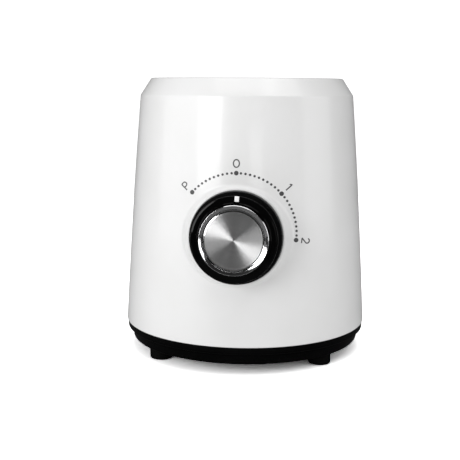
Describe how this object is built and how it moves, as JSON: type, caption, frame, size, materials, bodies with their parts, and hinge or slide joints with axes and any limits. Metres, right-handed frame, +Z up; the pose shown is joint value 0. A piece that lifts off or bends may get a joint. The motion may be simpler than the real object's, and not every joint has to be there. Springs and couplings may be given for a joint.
{
  "type": "countertop blender motor base",
  "caption": "Round tapered motor base of a countertop blender: white housing on a black tray, rotary speed knob, jar well with toothed drive coupling.",
  "frame": {"origin": "centre of the footprint box, knob included, on the surface that the feet stand on", "axes": "+Z up along the motor shaft, -Y towards the side with the knob, +X to the right of a person facing the knob"},
  "size_m": [0.17, 0.1916, 0.189],
  "materials": {
    "gloss_white": "gloss moulded",
    "satin_black": "satin moulded",
    "gloss_black": "gloss moulded",
    "dark_grey": "fine-grained moulded",
    "rubber": "matt",
    "chrome": "polished",
    "aluminium": "spun or cast",
    "steel": "zinc-plated",
    "stack_iron": "laminated sheet",
    "enamelled_copper": "enamelled copper wire",
    "brass": "machined or bronze",
    "carbon": "pressed carbon",
    "red_plastic": "moulded",
    "blue_plastic": "moulded"
  },
  "bodies": {
    "base": {"housing": "gloss_white", "bottom_cover": "satin_black", "switch_body": "satin_black", "microswitch": "satin_black", "jar_seat": "dark_grey", "foot_front_left": "rubber", "foot_front_right": "rubber", "foot_rear_left": "rubber", "foot_rear_right": "rubber", "cord_gland": "rubber", "shaft_seal": "rubber", "motor_damper_1": "rubber", "motor_damper_2": "rubber", "motor_damper_3": "rubber", "upper_bracket": "aluminium", "lower_bracket": "aluminium", "cover_screw_1": "steel", "cover_screw_2": "steel", "cover_screw_3": "steel", "cover_screw_4": "steel", "motor_screw_1": "steel", "motor_screw_2": "steel", "motor_screw_3": "steel", "tie_screw_left": "steel", "tie_screw_right": "steel", "interlock_hanger": "steel", "interlock_spring": "steel", "brush_spring_front": "steel", "brush_spring_rear": "steel", "stator_core": "stack_iron", "field_coil_front": "enamelled_copper", "field_coil_rear": "enamelled_copper", "upper_bush": "brass", "lower_bush": "brass", "brush_holder_front": "brass", "brush_holder_rear": "brass", "switch_nut": "brass", "switch_terminal_1": "brass", "switch_terminal_2": "brass", "switch_terminal_3": "brass", "carbon_brush_front": "carbon", "carbon_brush_rear": "carbon", "lead_brush": "red_plastic", "filter_capacitor": "blue_plastic", "lead_filter": "blue_plastic"},
    "control": {"knob": "gloss_black", "knob_ring": "chrome", "knob_disc": "aluminium", "knob_pointer": "gloss_white", "knob_clip": "steel", "switch_spindle": "steel"},
    "rotor": {"motor_shaft": "steel", "armature_core": "stack_iron", "armature_winding_upper": "enamelled_copper", "armature_winding_lower": "enamelled_copper", "commutator": "enamelled_copper", "fan": "satin_black", "drive_coupling": "satin_black"},
    "pin": {"interlock_pin": "gloss_white"},
    "button": {"microswitch_button": "red_plastic"}
  },
  "joints": [
    {"name": "knob_turn", "type": "hinge", "parent": "base", "child": "control", "pos_m": [0, -0.071, 0.0903], "axis": [0, -0.9976, 0.0685], "range_deg": [-92.6, 51.4]},
    {"name": "rotor_spin", "type": "hinge", "parent": "base", "child": "rotor", "pos_m": [0, 0.00962, 0.1], "axis": [0, 0, 1], "continuous": true},
    {"name": "interlock_press", "type": "slide", "parent": "base", "child": "pin", "axis": [0, 0, -1], "range_m": [0, 0.0035], "stiffness_N_per_m": 300, "springref_m": -0.002, "deforming": ["interlock_spring"]},
    {"name": "microswitch_press", "type": "slide", "parent": "base", "child": "button", "axis": [0, 0, -1], "range_m": [0, 0.0035], "stiffness_N_per_m": 100, "springref_m": -0.002}
  ],
  "couplings": [
    {"joint": "microswitch_press", "follows": "interlock_press", "ratio": 1}
  ]
}
